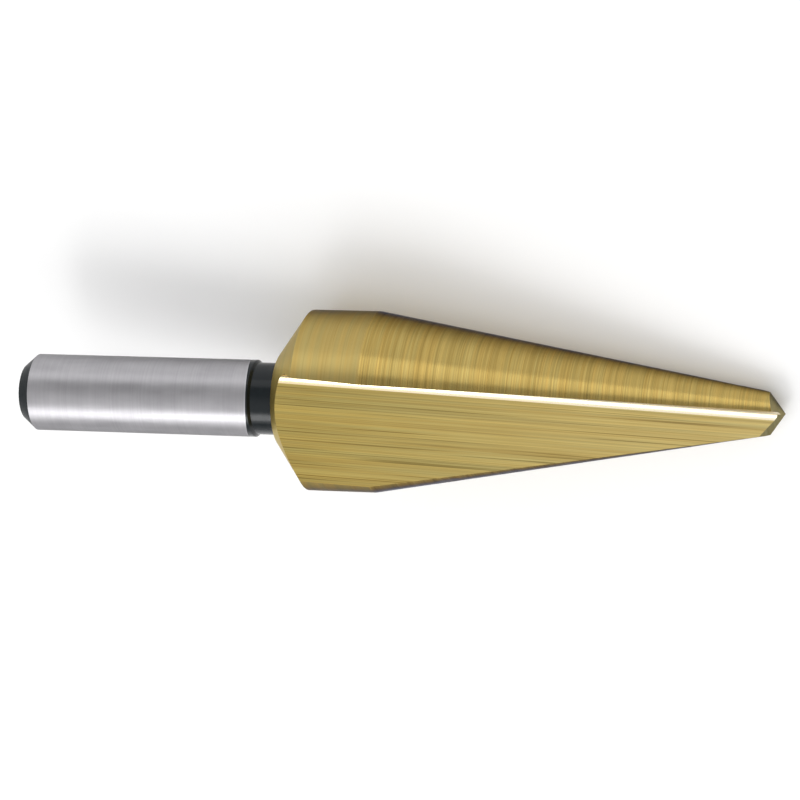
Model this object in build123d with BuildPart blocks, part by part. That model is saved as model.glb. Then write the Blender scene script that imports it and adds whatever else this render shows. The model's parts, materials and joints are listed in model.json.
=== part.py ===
from build123d import *
from math import acos, asin, atan, cos, degrees, radians, sin, tan
import os

# Cone drill bit for sheet and tube, ground from one piece of high speed steel.
# Millimetres and degrees. Lengths along the tool start at the end of its shank.
# In the tool's own frame X runs to the point, and the two flutes open towards -Y and +Y.

# Turned blank
SHANK_D = 6.0
SHANK_LENGTH = 18.9
SHANK_CHAMFER_LENGTH = 1.0
SHANK_CHAMFER_DEPTH = 0.85
NECK_D = 5.6
NECK_LENGTH = 2.1
BACK_FACE_D = 7.4
BACK_HALF_ANGLE = 54.0
LARGEST_D = 14.0
LAND_LENGTH = 5.3
CONE_HALF_ANGLE = 10.0
SMALLEST_D = 3.15
POINT_ANGLE = 130.0

# The flank behind each lip falls away by this angle
FLANK_RELIEF = 10.0

# A flute is a square notch with a round root. Both of its walls lean away from the axis
# towards the shank, so that the web grows from the point backwards.
WEB_AT_POINT = 0.76
WEB_LEAN = 6.1
RAKE_WALL_AT_POINT = 0.41
RAKE_WALL_LEAN = 3.9
FLUTE_ROOT_R = 0.9

# A gash opens each flute at the point. It takes off the heel of the other lip's flank
# and carries the lip inwards, nearly to the axis.
GASH_LEAD = 0.15
GASH_WALL_OFFSET = 0.05
GASH_ANGLE = 40.0
GASH_INCLUDED_ANGLE = 117.0

# How far a grinding cut runs past the surface that it cuts
OVERRUN = 1.0

largest_r = LARGEST_D / 2
smallest_r = SMALLEST_D / 2
shank_r = SHANK_D / 2
neck_r = NECK_D / 2
end_face_r = shank_r - SHANK_CHAMFER_DEPTH
back_face_r = BACK_FACE_D / 2

back_start = SHANK_LENGTH + NECK_LENGTH
land_start = back_start + (largest_r - back_face_r) / tan(radians(BACK_HALF_ANGLE))
cone_start = land_start + LAND_LENGTH
cone_end = cone_start + (largest_r - smallest_r) / tan(radians(CONE_HALF_ANGLE))
length = cone_end + smallest_r / tan(radians(POINT_ANGLE / 2))


def cone_radius(x):
    return largest_r - (x - cone_start) * tan(radians(CONE_HALF_ANGLE))


def web_half(x):
    return WEB_AT_POINT / 2 + (length - x) * tan(radians(WEB_LEAN))


def rake_wall(x):
    return RAKE_WALL_AT_POINT + (length - x) * tan(radians(RAKE_WALL_LEAN))


# The bit lies on the two long edges of one flute, with the outer corner of its lip down too.
# Azimuths are about the axis, from the direction that the flute's floor faces.
heel_azimuth = degrees(acos(web_half(cone_start) / largest_r))
edge_azimuth = degrees(asin(rake_wall(cone_start) / largest_r))
mouth_azimuth = (heel_azimuth - edge_azimuth) / 2
corner_azimuth = degrees(asin(rake_wall(cone_end) / smallest_r))
depth_at_land = largest_r * cos(radians(edge_azimuth + mouth_azimuth))
depth_at_corner = smallest_r * cos(radians(corner_azimuth + mouth_azimuth))
nose_down = degrees(atan((depth_at_land - depth_at_corner) / (cone_end - cone_start)))
dip = sin(radians(nose_down))
level = cos(radians(nose_down))

# The origin is on the surface that the bit lies on, under the middle of the bit
middle = (length * level - end_face_r * dip) / 2
shank_height = cone_start * dip + depth_at_land * level
tool = Plane(
    Location((-middle, 0, shank_height))
    * Location((0, 0, 0), (0, nose_down, 0))
    * Location((0, 0, 0), (-90 - mouth_azimuth, 0, 0))
)
tool_axis = Axis(tool.origin, tool.x_dir)


# A plane that is given in the tool's own frame
def on_tool(plane):
    return Plane(tool.location * plane.location)


with BuildPart() as blank:
    with BuildSketch(on_tool(Plane.XY)):
        with BuildLine():
            Polyline(
                (0, 0),
                (0, end_face_r),
                (SHANK_CHAMFER_LENGTH, shank_r),
                (SHANK_LENGTH, shank_r),
                (SHANK_LENGTH + shank_r - neck_r, neck_r),
                (back_start, neck_r),
                (back_start, back_face_r),
                (land_start, largest_r),
                (cone_start, largest_r),
                (length, cone_radius(length)),
                (length, 0),
                close=True,
            )
        make_face()
    revolve(axis=tool_axis)

# The notch of the flute that opens towards -Y, from in front of the point to behind the shank
with BuildPart() as flute_grind:
    front = length + OVERRUN
    section = on_tool(Plane((front, 0, 0), x_dir=(0, 1, 0), z_dir=(1, 0, 0)))
    with BuildSketch(section):
        with Locations((-web_half(front), rake_wall(front))):
            Rectangle(LARGEST_D, LARGEST_D, align=(Align.MAX, Align.MAX))
        fillet(vertices().sort_by_distance((0, 0))[0], FLUTE_ROOT_R)
    root_step = (-tan(radians(WEB_LEAN)), tan(radians(RAKE_WALL_LEAN)), -1)
    root_line = section.from_local_coords(root_step) - section.origin
    extrude(amount=front * root_line.length, dir=root_line)

# All that lies in front of the +Z flank, which is part of a cone that leans back from its lip
with BuildPart() as flank_grind:
    flank_reach = SMALLEST_D
    flank_frame = Location((length, 0, 0), (0, 0, FLANK_RELIEF))
    flank = Plane(on_tool(Plane.XZ).location * flank_frame)
    with BuildSketch(flank):
        with BuildLine():
            Polyline(
                (0, 0),
                (-flank_reach / tan(radians(POINT_ANGLE / 2)), flank_reach),
                (flank_reach, flank_reach),
                (flank_reach, 0),
                close=True,
            )
        make_face()
    revolve(axis=Axis(flank.origin, flank.x_dir))
    split(bisect_by=on_tool(Plane.XY), keep=Keep.TOP)

# The gash of the same flute, a wedge with one wall in line with the lip
with BuildPart() as gash_grind:
    gash_reach = SMALLEST_D
    gash_rise = gash_reach * tan(radians(GASH_INCLUDED_ANGLE - 90))
    gash = on_tool(
        Plane(
            (length + GASH_LEAD, 0, GASH_WALL_OFFSET),
            x_dir=(0, 0, -1),
            z_dir=(-cos(radians(GASH_ANGLE)), -sin(radians(GASH_ANGLE)), 0),
        )
    )
    with BuildSketch(gash):
        with BuildLine():
            Polyline(
                (0, 0),
                (0, gash_reach),
                (gash_reach, gash_reach),
                (gash_reach, -gash_rise),
                close=True,
            )
        make_face()
    extrude(amount=gash_reach, both=True)

# Each cut is made twice, half a turn apart
with BuildPart() as drill_bit:
    add(blank.part)
    for grind in (flute_grind, flank_grind, gash_grind):
        for turn in (0, 180):
            add(grind.part.rotate(tool_axis, turn), mode=Mode.SUBTRACT)

drill_bit.part.label = "drill_bit"
os.makedirs("parts", exist_ok=True)
export_step(drill_bit.part, "parts/drill_bit.step")
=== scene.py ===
import json
from math import acos, asin, hypot, radians, tan

import bmesh
import bpy
from mathutils import Matrix, Vector

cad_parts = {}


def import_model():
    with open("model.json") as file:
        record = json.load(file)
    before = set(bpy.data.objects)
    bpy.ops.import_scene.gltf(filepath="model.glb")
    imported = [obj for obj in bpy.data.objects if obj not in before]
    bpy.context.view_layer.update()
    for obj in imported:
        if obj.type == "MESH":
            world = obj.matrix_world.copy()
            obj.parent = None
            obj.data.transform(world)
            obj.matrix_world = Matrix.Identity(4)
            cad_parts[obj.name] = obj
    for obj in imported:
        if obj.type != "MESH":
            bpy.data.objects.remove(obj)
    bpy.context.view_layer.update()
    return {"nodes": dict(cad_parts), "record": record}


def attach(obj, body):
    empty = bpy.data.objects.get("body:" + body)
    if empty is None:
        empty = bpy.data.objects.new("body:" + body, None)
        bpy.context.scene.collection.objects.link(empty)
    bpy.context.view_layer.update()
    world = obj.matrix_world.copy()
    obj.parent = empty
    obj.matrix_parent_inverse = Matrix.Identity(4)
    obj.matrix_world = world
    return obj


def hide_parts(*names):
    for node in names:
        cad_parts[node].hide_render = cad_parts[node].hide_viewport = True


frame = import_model()

MM = 0.001

# The turned blank in millimetres and degrees, from the end of its shank, as in the CAD source
CHAMFER_END = 1.0
SHANK_END = 18.9
NECK_END = 21.0
LAND_LENGTH = 5.3
END_FACE_R = 2.15
SHANK_R = 3.0
NECK_R = 2.8
BACK_FACE_R = 3.7
LARGEST_R = 7.0
SMALLEST_R = 1.575
BACK_HALF_ANGLE = 54.0
CONE_HALF_ANGLE = 10.0
POINT_ANGLE = 130.0
LAND_START = NECK_END + (LARGEST_R - BACK_FACE_R) / tan(radians(BACK_HALF_ANGLE))
CONE_START = LAND_START + LAND_LENGTH
CONE_END = CONE_START + (LARGEST_R - SMALLEST_R) / tan(radians(CONE_HALF_ANGLE))
LENGTH = CONE_END + SMALLEST_R / tan(radians(POINT_ANGLE / 2))
PROFILE = (
    (0.0, END_FACE_R),
    (CHAMFER_END, SHANK_R),
    (SHANK_END, SHANK_R),
    (SHANK_END + SHANK_R - NECK_R, NECK_R),
    (NECK_END, NECK_R),
    (NECK_END, BACK_FACE_R),
    (LAND_START, LARGEST_R),
    (CONE_START, LARGEST_R),
    (CONE_END, SMALLEST_R),
)

# Each flute is a square notch with a round root, and its walls lean away from the axis
WEB_HALF_AT_POINT = 0.38
WEB_SLOPE = tan(radians(6.1))
RAKE_WALL_AT_POINT = 0.41
RAKE_WALL_SLOPE = tan(radians(3.9))
ROOT_R = 0.9

# The shank's mount is halfway along its straight part
SHANK_MIDDLE = (CHAMFER_END + SHANK_END) / 2

# The bit lies on the two long edges of one flute, and that sets its roll about its own axis
web_half = WEB_HALF_AT_POINT + (LENGTH - CONE_START) * WEB_SLOPE
rake_wall = RAKE_WALL_AT_POINT + (LENGTH - CONE_START) * RAKE_WALL_SLOPE
ROLL = radians(-90.0) - (acos(web_half / LARGEST_R) - asin(rake_wall / LARGEST_R)) / 2

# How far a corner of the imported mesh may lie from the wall, root or turned surface that it is
# taken to be on, and past the line where a wall joins the root
WALL_FIT = 0.006
ROOT_FIT = 0.015
TURNED_FIT = 0.02
JOIN_FIT = 0.01

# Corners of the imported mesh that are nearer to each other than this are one
WELD = 0.0001

# A face square to the tool's axis has at least this much of its normal along it
SQUARE = 0.999

# The flutes' tint towards the point starts and is complete at these lengths
TINT_START = 24.0
TINT_END = 58.0

# The two flutes read their grinding lines this far to either side, so that they differ
FLUTE_SHIFT = 7.0

# The bare steel ends at a plane that leans a little, with a narrow paler band painted in front of
# it as a highlight of the edge
STEEL_END = Vector((18.37, 0.0, 0.0))
STEEL_END_NORMAL = Vector((1.0, 0.137, -0.027))
STEEL_EDGE_HIGHLIGHT_WIDTH = 0.12
STEEL_EDGE_HIGHLIGHT_BLEND = 0.06


def tool_frame(record):
    """The tool's own frame: X from the shank's end to the point, flutes towards -Y and +Y."""
    shank = record["mounts"][0]
    forward = -Vector(shank["axis"])
    shank_end = Vector(shank["pos_m"]) - forward * SHANK_MIDDLE * MM
    nose_down = Matrix.Rotation(asin(-forward.z), 4, "Y")
    return Matrix.Translation(shank_end) @ nose_down @ Matrix.Rotation(ROLL, 4, "X")


tool = tool_frame(frame["record"])


# Node trees


def rgba(colour):
    return (*colour, 1.0)


class Nodes:
    """Adds nodes to a material's or a world's tree and links them."""

    def __init__(self, owner):
        owner.use_nodes = True
        self.tree = owner.node_tree
        self.tree.nodes.clear()

    def add(self, kind, inputs=None, **settings):
        node = self.tree.nodes.new(kind)
        for name, value in settings.items():
            setattr(node, name, value)
        for name, value in (inputs or {}).items():
            if isinstance(value, bpy.types.NodeSocket):
                self.tree.links.new(value, node.inputs[name])
            else:
                node.inputs[name].default_value = value
        return node

    def math(self, operation, a, b=0.0):
        return self.add("ShaderNodeMath", {0: a, 1: b}, operation=operation).outputs[0]

    def weigh(self, a, weight, b):
        """The mean of two values, the first by `weight`."""
        first = self.math("MULTIPLY", a, weight)
        return self.math("ADD", first, self.math("MULTIPLY", b, 1.0 - weight))

    def remap(self, value, low, high, to_low=0.0, to_high=1.0):
        inputs = {"Value": value, "From Min": low, "From Max": high}
        inputs.update({"To Min": to_low, "To Max": to_high})
        return self.add("ShaderNodeMapRange", inputs).outputs["Result"]

    def mix(self, factor, a, b, blend="MIX"):
        inputs = {0: factor, 6: a, 7: b}
        return self.add("ShaderNodeMix", inputs, data_type="RGBA", blend_type=blend).outputs[2]

    def noise(self, vector, scales, detail=2.0, roughness=0.5):
        scaled = self.add("ShaderNodeVectorMath", {0: vector, 1: scales}, operation="MULTIPLY")
        inputs = {"Vector": scaled.outputs[0], "Scale": 1.0}
        inputs.update({"Detail": detail, "Roughness": roughness})
        return self.add("ShaderNodeTexNoise", inputs).outputs["Fac"]

    def grind(self):
        """The mesh's own grinding coordinates in millimetres. X runs across the grinding lines."""
        return self.add("ShaderNodeAttribute", attribute_name="grind").outputs["Vector"]

    def split(self, vector):
        return self.add("ShaderNodeSeparateXYZ", {0: vector}).outputs

    def ramp(self, value, stops):
        node = self.add("ShaderNodeValToRGB", {"Fac": value})
        elements = node.color_ramp.elements
        while len(elements) < len(stops):
            elements.new(0.5)
        for element, (place, level) in zip(elements, stops):
            element.position = place
            element.color = (level, level, level, 1.0)
        return node.outputs["Color"]

    def finish(self, base, roughness, height, depth, **constants):
        """Adds the shader, with a bump `depth` millimetres high, and the material's output."""
        inputs = {"Height": height, "Strength": 1.0, "Distance": depth * MM}
        bump = self.add("ShaderNodeBump", inputs)
        inputs = {"Base Color": base, "Roughness": roughness, "Normal": bump.outputs["Normal"]}
        shader = self.add("ShaderNodeBsdfPrincipled", {**inputs, **constants})
        self.add("ShaderNodeOutputMaterial", {"Surface": shader.outputs["BSDF"]})


def ground(name, light, dark, roughness, fine, along, depth, scratch, edge, end=None):
    """Coated metal with its grinding lines, `fine` to the millimetre across and `along` lengthwise.

    `depth` is the height of the lines in millimetres. `scratch` is how many places for a deeper
    scratch there are to the millimetre, the noise level where one starts, and how much of the
    colour it leaves. `edge` is the tint at grazing angles, and `end` tints the metal towards the
    tool's point.
    """
    material = bpy.data.materials.new(name)
    nodes = Nodes(material)
    grind = nodes.grind()
    lines = nodes.noise(grind, (fine, along, along), detail=4.0, roughness=0.65)
    bands = nodes.noise(grind, (fine / 5, along / 2, along / 2))
    tone = nodes.weigh(lines, 0.75, bands)
    base = nodes.mix(nodes.remap(tone, 0.36, 0.64), rgba(dark), rgba(light))
    hue = nodes.noise(grind, (fine / 3, along, along), detail=3.0)
    cool, warm = (0.98, 1.0, 0.98, 1.0), (1.05, 0.98, 0.85, 1.0)
    tint = nodes.mix(nodes.remap(hue, 0.35, 0.65), cool, warm)
    base = nodes.mix(1.0, base, tint, "MULTIPLY")
    places, level, left = scratch
    deep = nodes.noise(grind, (places, along * 1.3, along * 1.3), detail=1.0)
    scratches = nodes.remap(deep, level, level + 0.1)
    base = nodes.mix(scratches, base, (left, left * 0.97, left * 0.9, 1.0), "MULTIPLY")
    if end:
        towards_point = nodes.remap(nodes.split(grind)["Y"], TINT_START, TINT_END)
        base = nodes.mix(towards_point, base, end, "MULTIPLY")
    cloud = nodes.noise(grind, (0.4, 0.4, 0.4), detail=3.0)
    base = nodes.mix(cloud, base, (1.03, 0.99, 0.92, 1.0), "MULTIPLY")
    gloss = nodes.math("ADD", nodes.remap(cloud, 0.3, 0.7, -0.04, 0.04), roughness)
    height = nodes.math("SUBTRACT", tone, nodes.math("MULTIPLY", scratches, 0.15))
    nodes.finish(base, gloss, height, depth, **{"Metallic": 1.0, "Specular Tint": rgba(edge)})
    return material


def bare_steel(name):
    """Ground steel with its lines round the shank, and a narrow paler band painted as a highlight
    where it meets the oxide.
    """
    material = bpy.data.materials.new(name)
    nodes = Nodes(material)
    grind = nodes.grind()
    lines = nodes.noise(grind, (7.0, 0.1, 0.1), detail=4.0, roughness=0.6)
    smudges = nodes.noise(grind, (0.35, 0.9, 0.9), detail=5.0)
    tone = nodes.weigh(lines, 0.45, smudges)
    dark, light = (0.347, 0.34, 0.356, 1.0), (0.427, 0.418, 0.436, 1.0)
    base = nodes.mix(nodes.remap(tone, 0.35, 0.65), dark, light)
    inputs = {0: grind, 1: STEEL_END_NORMAL}
    towards_end = nodes.add("ShaderNodeVectorMath", inputs, operation="DOT_PRODUCT")
    end = STEEL_END.dot(STEEL_END_NORMAL)
    # A narrow paler band just before the end plane is painted on as a highlight
    highlight_start = end - STEEL_EDGE_HIGHLIGHT_WIDTH
    painted_highlight = nodes.remap(towards_end.outputs["Value"], highlight_start, highlight_start + STEEL_EDGE_HIGHLIGHT_BLEND)
    base = nodes.mix(painted_highlight, base, (0.46, 0.455, 0.475, 1.0))
    gloss = nodes.remap(smudges, 0.3, 0.7, 0.33, 0.42)
    constants = {"Metallic": 1.0, "Specular Tint": (0.5, 0.5, 0.5, 1.0)}
    nodes.finish(base, gloss, tone, 0.0012, **constants)
    return material


def oxide(name, low_gloss, high_gloss, level):
    """Unground steel with its dark oxide left on.

    The two values of gloss are the lowest and highest roughness, and `level` is the shader's
    Specular IOR Level.
    """
    material = bpy.data.materials.new(name)
    nodes = Nodes(material)
    grind = nodes.grind()
    grain = nodes.noise(grind, (5.0, 2.0, 2.0), detail=4.0)
    base = nodes.mix(grain, (0.0005, 0.003, 0.005, 1.0), (0.004, 0.009, 0.012, 1.0))
    gloss = nodes.remap(grain, 0.3, 0.7, low_gloss, high_gloss)
    nodes.finish(base, gloss, grain, 0.008, **{"Specular IOR Level": level})
    return material


# The tint of most coated metal at grazing angles
EDGE_TINT = (0.18, 0.22, 0.38)

# The surfaces, each with the material at the same place in the list below
STEEL, NECK, END, BACK, LAND, CONE, FLUTE, ROOT, POINT = range(9)
MATERIALS = [
    bare_steel("bare_steel"),
    oxide("oxide_neck", low_gloss=0.15, high_gloss=0.24, level=0.3),
    oxide("oxide_end", low_gloss=0.3, high_gloss=0.42, level=0.1),
    ground(
        "coated_back", light=(0.48, 0.38, 0.12), dark=(0.40, 0.31, 0.095),
        roughness=0.36, fine=7.0, along=0.05, depth=0.0015,
        scratch=(7.0, 0.66, 0.85), edge=(0.9, 0.87, 0.75),
    ),
    ground(
        "coated_land", light=(0.46, 0.36, 0.14), dark=(0.37, 0.29, 0.11),
        roughness=0.34, fine=7.0, along=0.05, depth=0.0015,
        scratch=(7.0, 0.64, 0.8), edge=EDGE_TINT,
    ),
    ground(
        "coated_cone", light=(0.54, 0.41, 0.145), dark=(0.29, 0.215, 0.068),
        roughness=0.22, fine=10.0, along=0.06, depth=0.003,
        scratch=(10.0, 0.62, 0.65), edge=EDGE_TINT,
    ),
    ground(
        "coated_flute", light=(0.49, 0.39, 0.13), dark=(0.31, 0.24, 0.082),
        roughness=0.32, fine=11.0, along=0.04, depth=0.0025,
        scratch=(9.0, 0.6, 0.55), edge=EDGE_TINT, end=(1.35, 1.4, 1.8, 1.0),
    ),
    # The root's coating is painted much paler than the flute's, and paler and bluer towards the
    # point, so that the lamps' highlight along it reads white: a painted highlight
    ground(
        "flute_root_painted_highlight", light=(0.88, 0.80, 0.60), dark=(0.80, 0.69, 0.46),
        roughness=0.24, fine=6.0, along=0.04, depth=0.001,
        scratch=(6.0, 0.66, 0.9), edge=EDGE_TINT, end=(1.05, 1.1, 1.3, 1.0),
    ),
    # The point's coating is painted darker and duller than the cone's, as a painted shade on its
    # facets
    ground(
        "coated_point_painted_shade", light=(0.30, 0.27, 0.15), dark=(0.22, 0.20, 0.11),
        roughness=0.3, fine=8.0, along=0.3, depth=0.002,
        scratch=(6.0, 0.64, 0.75), edge=EDGE_TINT,
    ),
]


# The dressed bit, from the CAD mesh


def flute_place(x, y, z, side):
    """A point's place in the section of its flute, from the middle of the flute's round root."""
    across = side * y + WEB_HALF_AT_POINT + (LENGTH - x) * WEB_SLOPE + ROOT_R
    up = side * z - RAKE_WALL_AT_POINT - (LENGTH - x) * RAKE_WALL_SLOPE + ROOT_R
    return across, up


def in_root(place):
    across, up = place
    off_root = abs(hypot(across, up) - ROOT_R)
    return across > -JOIN_FIT and up > -JOIN_FIT and off_root < ROOT_FIT


def on_wall(place):
    across, up = place
    on_web = abs(across - ROOT_R) < WALL_FIT and up < JOIN_FIT
    on_rake_wall = abs(up - ROOT_R) < WALL_FIT and across < JOIN_FIT
    return on_web or on_rake_wall


def root_normal(place, side):
    """The exact normal of a flute's round root."""
    across, up = place
    normal_y, normal_z = -across / ROOT_R, -up / ROOT_R
    along = normal_z * RAKE_WALL_SLOPE - normal_y * WEB_SLOPE
    return Vector((along, side * normal_y, side * normal_z)).normalized()


def turned_step(x):
    """The step of the turned profile that a length lies in."""
    for (x0, r0), (x1, r1) in zip(PROFILE, PROFILE[1:]):
        if x0 < x < x1:
            return x0, r0, x1 - x0, r1 - r0
    return None


def on_turned(step, places):
    x0, r0, run, rise = step
    return all(abs(hypot(y, z) - r0 - (x - x0) * rise / run) < TURNED_FIT for x, y, z in places)


def turned_normal(step, place):
    """The exact normal of a cylinder or cone of the turned profile."""
    _, y, z = place
    run, rise = step[2:]
    radius = hypot(y, z)
    return Vector((-rise, run * y / radius, run * z / radius)).normalized()


def turned_surface(place):
    """Which surface of the turned blank a place is on."""
    for start, surface in ((CONE_START, CONE), (LAND_START, LAND), (NECK_END, BACK)):
        if place.x > start:
            return surface
    if place.x < CHAMFER_END:
        return END
    return NECK if (place - STEEL_END).dot(STEEL_END_NORMAL) > 0 else STEEL


def dress(face):
    """A face's material, and the normal and the grinding coordinates of each of its corners."""
    middle = face.calc_center_median()
    places = [loop.vert.co for loop in face.loops]
    flat = [face.normal.copy() for _ in places]
    if abs(face.normal.x) > SQUARE:
        return (END if middle.x < CHAMFER_END else BACK), flat, places
    side = 1.0 if middle.y < 0 else -1.0
    in_flute = [flute_place(*place, side) for place in places]
    wall, root = all(map(on_wall, in_flute)), all(map(in_root, in_flute))
    if middle.x > NECK_END and (wall or root):
        rounded = root and not wall
        normals = [root_normal(place, side) for place in in_flute] if rounded else flat
        slope, shift = WEB_SLOPE + RAKE_WALL_SLOPE, FLUTE_SHIFT * side
        lines = [Vector((side * (p.z - p.y) + p.x * slope, p.x, shift)) for p in places]
        return (ROOT if rounded else FLUTE), normals, lines
    step = turned_step(middle.x)
    if step and on_turned(step, places):
        return turned_surface(middle), [turned_normal(step, p) for p in places], places
    return POINT, flat, places


def dressed_bit(node):
    """The CAD mesh with its finishes, exact normals and grinding coordinates."""
    mesh = bmesh.new()
    mesh.from_mesh(node.data)
    mesh.transform(Matrix.Scale(1 / MM, 4) @ tool.inverted())
    bmesh.ops.remove_doubles(mesh, verts=mesh.verts, dist=WELD)
    everything = mesh.verts[:] + mesh.edges[:] + mesh.faces[:]
    bmesh.ops.bisect_plane(mesh, geom=everything, plane_co=STEEL_END, plane_no=STEEL_END_NORMAL)
    bmesh.ops.triangulate(mesh, faces=mesh.faces)
    mesh.normal_update()
    grind = mesh.loops.layers.float_vector.new("grind")
    normals = []
    for face in mesh.faces:
        face.smooth = True
        face.material_index, corner_normals, lines = dress(face)
        normals += corner_normals
        for loop, place in zip(face.loops, lines):
            loop[grind] = place
    mesh.transform(tool @ Matrix.Scale(MM, 4))
    data = bpy.data.meshes.new("drill_bit_dressed")
    mesh.to_mesh(data)
    mesh.free()
    turn = tool.to_3x3()
    data.normals_split_custom_set([turn @ normal for normal in normals])
    for material in MATERIALS:
        data.materials.append(material)
    bit = bpy.data.objects.new("drill_bit_dressed", data)
    bpy.context.scene.collection.objects.link(bit)
    return bit


bit = dressed_bit(frame["nodes"]["drill_bit"])
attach(bit, "root")
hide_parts("drill_bit")


# Floor, world and lamps, in metres

FLOOR_RADIUS = 2.0

# How much the floor glows for the camera and in metal, to bring it up to white
FLOOR_GLOW = 0.12

# The energy to the square metre that gives a lamp a radiance of 1
LAMP_ENERGY = 4.0


def floor():
    """A plain pale floor that keeps the bit's shadow."""
    mesh = bmesh.new()
    bmesh.ops.create_circle(mesh, cap_ends=True, segments=96, radius=FLOOR_RADIUS)
    data = bpy.data.meshes.new("floor")
    mesh.to_mesh(data)
    mesh.free()
    material = bpy.data.materials.new("pale_floor")
    nodes = Nodes(material)
    diffuse = nodes.add("ShaderNodeBsdfDiffuse", {"Color": (0.9, 0.9, 0.9, 1.0)})
    path = nodes.add("ShaderNodeLightPath").outputs
    mirrored = nodes.math("MAXIMUM", path["Is Glossy Ray"], path["Is Transmission Ray"])
    seen = nodes.math("MAXIMUM", path["Is Camera Ray"], mirrored)
    glow = nodes.add("ShaderNodeEmission", {"Strength": nodes.math("MULTIPLY", seen, FLOOR_GLOW)})
    both = nodes.add("ShaderNodeAddShader", {0: diffuse.outputs[0], 1: glow.outputs[0]})
    nodes.add("ShaderNodeOutputMaterial", {"Surface": both.outputs[0]})
    data.materials.append(material)
    disc = bpy.data.objects.new("floor", data)
    bpy.context.scene.collection.objects.link(disc)


def world(levels):
    """A plain studio, with a brightness for each height: 0 is the horizon and 1 is overhead."""
    sky = bpy.data.worlds.new("studio")
    nodes = Nodes(sky)
    direction = nodes.add("ShaderNodeTexCoord").outputs["Generated"]
    strength = nodes.ramp(nodes.split(direction)["Z"], levels)
    white = (1.0, 1.0, 1.0, 1.0)
    background = nodes.add("ShaderNodeBackground", {"Color": white, "Strength": strength})
    nodes.add("ShaderNodeOutputWorld", {"Surface": background.outputs[0]})
    bpy.context.scene.world = sky


def lamp(name, direction, distance, width, height, radiance):
    """A soft box that faces the bit from `distance`, as bright as `radiance` all over."""
    data = bpy.data.lights.new(name, "AREA")
    data.shape = "RECTANGLE"
    data.size = width
    data.size_y = height
    data.energy = LAMP_ENERGY * radiance * width * height
    soft_box = bpy.data.objects.new(name, data)
    away = Vector(direction).normalized()
    up = away.cross(Vector((1, 0, 0))).normalized()
    across = up.cross(away)
    turn = Matrix((across, up, away)).transposed().to_4x4()
    soft_box.matrix_world = Matrix.Translation(away * distance) @ turn
    soft_box.visible_camera = False
    bpy.context.scene.collection.objects.link(soft_box)


floor()
world(((0.0, 0.8), (0.15, 0.85), (0.45, 0.5), (0.8, 0.58), (1.0, 1.1)))
lamp("key", (-0.136, -0.59, 0.796), distance=0.6, width=1.4, height=0.4, radiance=0.95)
lamp("glint", (-0.136, -0.56, 0.817), distance=0.55, width=0.14, height=0.2, radiance=3.6)
lamp("fill", (0.033, 0.967, 0.25), distance=0.6, width=0.9, height=0.27, radiance=0.6)


# Camera, fitted to the photo's view

camera_data = bpy.data.cameras.new("camera")
camera_data.sensor_width = 36.0
camera_data.lens = 167.3
camera_data.clip_start = 0.01
camera = bpy.data.objects.new("camera", camera_data)
camera.location = (0.102507, 0.135711, 0.23541)
camera.rotation_euler = (radians(-30.5), radians(20.871), radians(-5.837))
bpy.context.scene.collection.objects.link(camera)
bpy.context.scene.camera = camera

bpy.context.scene.view_settings.view_transform = "Standard"
